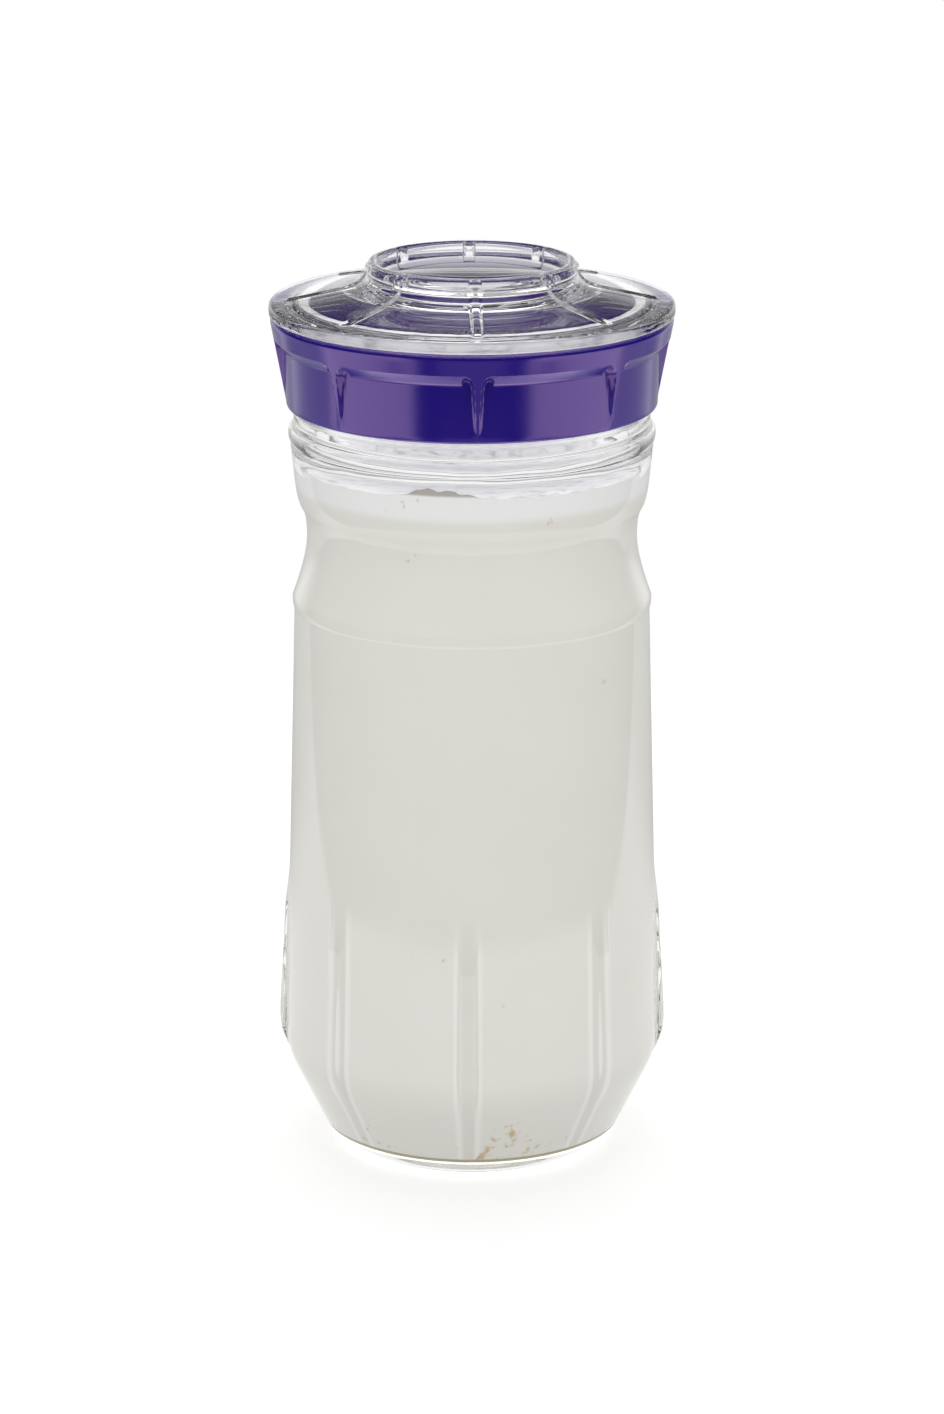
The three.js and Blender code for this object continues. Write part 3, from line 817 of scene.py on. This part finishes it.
# Clear cap
capShape = {
    "skirt": 49.7, "skirtWall": 2.2, "skirtRound": 0.4, "seat": 6.2, "seatRound": 0.3,
    "flange": 55.4, "flangeThick": 3.2, "flangeSlope": 0.4, "flangeWidth": 4.8,
    "flangeRound": 1.1, "flangeFootRound": 0.6,
    "roofThick": 2.4, "roofRise": 4, "roofRound": 0.8, "roofEndRound": 0.6,
    "ring": 28.6, "ringWall": 3, "ringHeight": 7, "ringDraft": 0.3, "ringRound": 1, "ringDepth": 3.9,
    "ringFoot": 3.6, "footReach": 6.5, "footRound": 4.4, "floorDome": 1.8, "floorRound": 0.6,
    "ridges": 8, "ridgeWidth": 2.6, "ridgeEdge": 0.6, "ridgeProud": 0.5, "ridgeEnd": 0.8, "ridgeFoot": 0.6,
    "ridgeTop": (0.3, 1.5), "ringSkin": 1, "roofSkin": 0.5, "boreSkin": 0.2,
    "clocking": 1.7, "rows": 1, "columns": (6.5, 20, 7),
}
capLook = {
    "tint": (0.99, 0.99, 0.995, 1), "shade": (0.96, 0.96, 0.97, 1), "roughness": 0, "ior": 1.57, "sheen": 0.5,
    "ripple": 0.12, "rippleScale": 120, "rippleSquash": 6, "rippleDepth": 1, "rippleFrom": 46, "rippleFade": 3,
}


def makeCap():
    shape = capShape
    foot = low("clear_cap")
    seat = foot + shape["seat"]
    roofFoot = seat + shape["flangeThick"] + shape["flangeSlope"]
    roofEdge = shape["flange"] - shape["flangeWidth"]
    ringTop = roofFoot + shape["roofRise"] + shape["ringHeight"]
    ringFloor = ringTop - shape["ringDepth"]
    ring, bore = shape["ring"], shape["ring"] - shape["ringWall"]
    skirtBore = shape["skirt"] - shape["skirtWall"]

    def roofAt(radius):
        return roofFoot + shape["roofRise"] * (roofEdge - radius) / (roofEdge - ring - shape["ringFoot"])

    under = shape["roofThick"]
    outline = Outline(0, ringFloor - under)
    outline.line(bore - shape["ringWall"] / 2, ringFloor - under, shape["roofRound"])
    outline.line(bore, roofAt(ring) - under, shape["roofRound"])
    outline.line(skirtBore, roofAt(skirtBore) - under, shape["roofEndRound"])
    outline.line(skirtBore, foot, shape["skirtRound"])
    outline.line(shape["skirt"], foot, shape["skirtRound"])
    outline.line(shape["skirt"], seat, shape["seatRound"])
    outline.line(shape["flange"], seat, shape["flangeFootRound"])
    outline.line(shape["flange"], seat + shape["flangeThick"], shape["flangeRound"], steps=6)
    outline.line(roofEdge, roofFoot, shape["roofRound"])
    flare = ring + shape["footReach"]
    outline.line(flare, roofAt(flare))
    outline.bend((ring, roofAt(ring)), (ring, roofAt(ring) + shape["footRound"]))
    outline.line(ring - shape["ringDraft"], ringTop, shape["ringRound"])
    outline.line(bore + shape["ringDraft"], ringTop, shape["ringRound"], steps=6)
    outline.line(bore, ringFloor, shape["floorRound"])
    dome = ringFloor + shape["floorDome"]
    outline.bend((bore / 2, dome), (0, dome), steps=24)
    plan = crowded(shape["ridges"], *shape["columns"])
    bm = turn(outline.spaced(shape["rows"]), shape["ridges"], plan)
    half = shape["ridgeWidth"] / 2
    moves = []
    for vert in bm.verts:
        radius, level, across = polar(vert, shape["ridges"])
        below = level < roofAt(max(radius, ring)) - shape["roofSkin"]
        if below or not bore - shape["ringSkin"] <= radius <= roofEdge:
            continue
        flat = 1 - ease(abs(across), half - shape["ridgeEdge"], half + shape["ridgeEdge"])
        ends = ease(roofEdge - radius, 0, shape["ridgeEnd"]) * ease(ringTop - level, *shape["ridgeTop"])
        if radius < bore + shape["boreSkin"]:
            ends *= ease(level, ringFloor, ringFloor + shape["ridgeFoot"])
        moves.append((vert, vert.normal * shape["ridgeProud"] * ends * flat * mm))
    for vert, move in moves:
        vert.co += move
    faceFront(bm, shape["ridges"], shape["clocking"])
    cap = addPiece("clearCap", bm, "cap", clearFinish("clearPlastic", capLook))
    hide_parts("clear_cap")
    print("clear cap made")


# Floor, light and camera
studio = {
    "tableFront": -0.31, "tableBack": 0.5, "tableHalf": 0.32, "tableFlare": 0.6, "tableFade": 0.04,
    "tableDrop": 0.0002, "tableDim": (0.1, 0.3), "tableColor": (0.7, 0.7, 0.7, 1),
    "seenColor": (0.5, 0.5, 0.5, 1), "seenLift": 0.52, "mirrored": 0.97,
    "fill": 0.87, "room": 0.02, "under": 0.5, "underFrom": (-0.1, -0.2), "overheadFrom": (0.8, 0.93),
    "backdropSide": (0.55, 0.85), "backdropTop": (0.34, 0.1),
    "lowWhite": (0.2, 0.14), "highWhite": (0.28, 0.36),
    "unmirrored": (0.8, 0.2), "manyWalls": (2.2, 2.8), "veil": 0.12,
    "bounces": {"max_bounces": 24, "glossy_bounces": 16, "transmission_bounces": 24},
    "softboxes": [
        {"name": "leftSoftbox", "place": (-0.6, -1.1, 0.7), "size": (0.8, 0.8), "watts": 1.2},
        {"name": "rightSoftbox", "place": (0.6, -1.1, 0.7), "size": (0.8, 0.8), "watts": 1.2},
        {"name": "topSoftbox", "place": (0, 0.4, 1.1), "size": (0.9, 0.9), "watts": 4},
    ],
    "aim": (0, 0, 0.1),
    "lidLamps": [
        {"name": "lidLampLeft", "place": (-0.68, -0.32, 0), "size": (0.85, 0.6), "watts": 2.6},
        {"name": "lidLampRight", "place": (0.68, -0.32, 0), "size": (0.85, 0.6), "watts": 2.6},
        {"name": "lidLampFarLeft", "place": (-0.66, 0.35, 0), "size": (0.7, 0.6), "watts": 0.8},
        {"name": "lidLampFarRight", "place": (0.66, 0.35, 0), "size": (0.7, 0.6), "watts": 0.8},
        {"name": "lidLampFront", "place": (0, -0.42, 0), "size": (0.3, 0.16), "watts": 0.05},
        {"name": "lidLampLow", "place": (0, -0.02, 0.05), "size": (0.22, 0.22), "watts": 0.25},
    ],
    "lidAim": (0, 0, 0.225),
}
photoView = {
    "place": (0, -1.285, 0.503), "pitch": 16.38, "focalPixels": 4800, "photoHeight": 1414, "sensor": 36,
}


def makeTable():
    bm = bmesh.new()
    front, back = studio["tableFront"], studio["tableBack"]
    half, flare = studio["tableHalf"], studio["tableFlare"]
    corners = []
    for level, sides in ((front, (-1, 1)), (0, (1,)), (back, (1, -1)), (0, (-1,))):
        reach = half + flare * max(level, 0)
        corners += [(side * reach, level, -studio["tableDrop"]) for side in sides]
    bm.faces.new([bm.verts.new(corner) for corner in corners])
    material, shader = newFinish("pale table")
    path = shader.node("ShaderNodeLightPath")
    spot = shader.parted(shader.place())
    ahead = spot["Y"].least(0)
    behind = spot["Y"].most(0)
    reach = (spot["X"] * spot["X"] + ahead * ahead).power(0.5) - behind * flare
    inside = shader.step(reach, half, half - studio["tableFade"])
    far = 1 - (1 - studio["under"]) * shader.step(spot["Y"], *studio["tableDim"])
    bright = 1 - path["Is Glossy Ray"] * (1 - inside * far)
    plain = shader.node("ShaderNodeBsdfDiffuse", {}, {"Color": studio["tableColor"]})
    seen = shader.node("ShaderNodeBsdfDiffuse", {}, {"Color": studio["seenColor"]})
    lift = shader.node("ShaderNodeEmission", {}, {"Strength": studio["seenLift"]})
    lifted = shader.node("ShaderNodeAddShader", {}, {0: seen, 1: lift})
    dark = shader.node("ShaderNodeEmission", {}, {"Strength": 0})
    light = shader.node("ShaderNodeEmission", {}, {"Strength": studio["mirrored"]})
    mirrored = shader.node("ShaderNodeMixShader", {}, {0: bright, 1: dark, 2: light})
    direct = shader.node("ShaderNodeMixShader", {}, {0: path["Is Camera Ray"], 1: plain, 2: lifted})
    mirrorRays = path["Is Glossy Ray"].most(path["Is Transmission Ray"])
    shader.finish(shader.node("ShaderNodeMixShader", {}, {0: mirrorRays, 1: direct, 2: mirrored}))
    stand = addMesh("table", bm, material)


def makeLight():
    world = bpy.data.worlds.new("studio")
    bpy.context.scene.world = world
    world.use_nodes = True
    world.cycles.sampling_method = "NONE"
    shader = Shader(world.node_tree)
    toward = shader.node("ShaderNodeTexCoord")["Generated"]
    rise = shader.parted(toward)["Z"]
    level = shader.stretched(toward, (1, 1, 0))
    level = shader.node("ShaderNodeVectorMath", {"operation": "NORMALIZE"}, {0: level})
    behind = shader.parted(level)["Y"]
    # mirrors see a dark room with a white backdrop and a white ceiling
    backdrop = shader.step(behind, *studio["backdropSide"]) * shader.step(rise, *studio["backdropTop"])
    backdrop = backdrop * (1 - (1 - studio["under"]) * shader.step(rise, *studio["underFrom"]))
    room = studio["room"] + backdrop.most(shader.step(rise, *studio["overheadFrom"]))
    # clear walls let in white from low down and from high up,
    # but little of the high light that a thin wall mirrors
    path = shader.node("ShaderNodeLightPath")
    plainPass = shader.step(path["Glossy Depth"], *studio["unmirrored"])
    deep = shader.step(path["Transmission Depth"], *studio["manyWalls"]).most(plainPass).most(studio["veil"])
    around = shader.step(rise, *studio["lowWhite"]).most(shader.step(rise, *studio["highWhite"]) * deep)
    through = path["Is Transmission Ray"] * room.most(around)
    plainRays = 1 - path["Is Glossy Ray"].most(path["Is Transmission Ray"])
    strength = plainRays * studio["fill"] + path["Is Glossy Ray"] * room
    strength = strength.most(path["Is Camera Ray"]).most(through)
    glow = shader.node("ShaderNodeBackground", {}, {"Color": (1, 1, 1, 1), "Strength": strength})
    shader.finish(glow, "ShaderNodeOutputWorld")
    for box in studio["softboxes"]:
        addLamp(box, studio["aim"]).visible_glossy = False


def addLamp(box, aim):
    lamp = bpy.data.lights.new(box["name"], "AREA")
    lamp.shape = "RECTANGLE"
    lamp.size, lamp.size_y = box["size"]
    lamp.energy = box["watts"]
    holder = bpy.data.objects.new(box["name"], lamp)
    holder.location = box["place"]
    toward = Vector(aim) - holder.location
    holder.rotation_euler = toward.to_track_quat("-Z", "Y").to_euler()
    bpy.context.scene.collection.objects.link(holder)
    return holder


def lightLid(lid):
    # low lamps that only the satin lid mirrors
    receivers = bpy.data.collections.new("satin lid")
    receivers.objects.link(lid)
    for box in studio["lidLamps"]:
        addLamp(box, studio["lidAim"]).light_linking.receiver_collection = receivers


def makeCamera():
    camera = bpy.data.cameras.new("photoCamera")
    camera.sensor_width = photoView["sensor"]
    camera.lens = photoView["focalPixels"] / photoView["photoHeight"] * photoView["sensor"]
    holder = bpy.data.objects.new("photoCamera", camera)
    holder.location = photoView["place"]
    holder.rotation_euler = (math.radians(90 - photoView["pitch"]), 0, 0)
    bpy.context.scene.collection.objects.link(holder)
    bpy.context.scene.camera = holder


bpy.context.scene.view_settings.view_transform = "Standard"
for name, count in studio["bounces"].items():
    setattr(bpy.context.scene.cycles, name, count)
makeCamera()
makeTable()
makeLight()
print("studio ready")
makeJar()
makeKefir()
lightLid(makeLid())
makeGaskets()
makeCap()

bpy.context.view_layer.update()
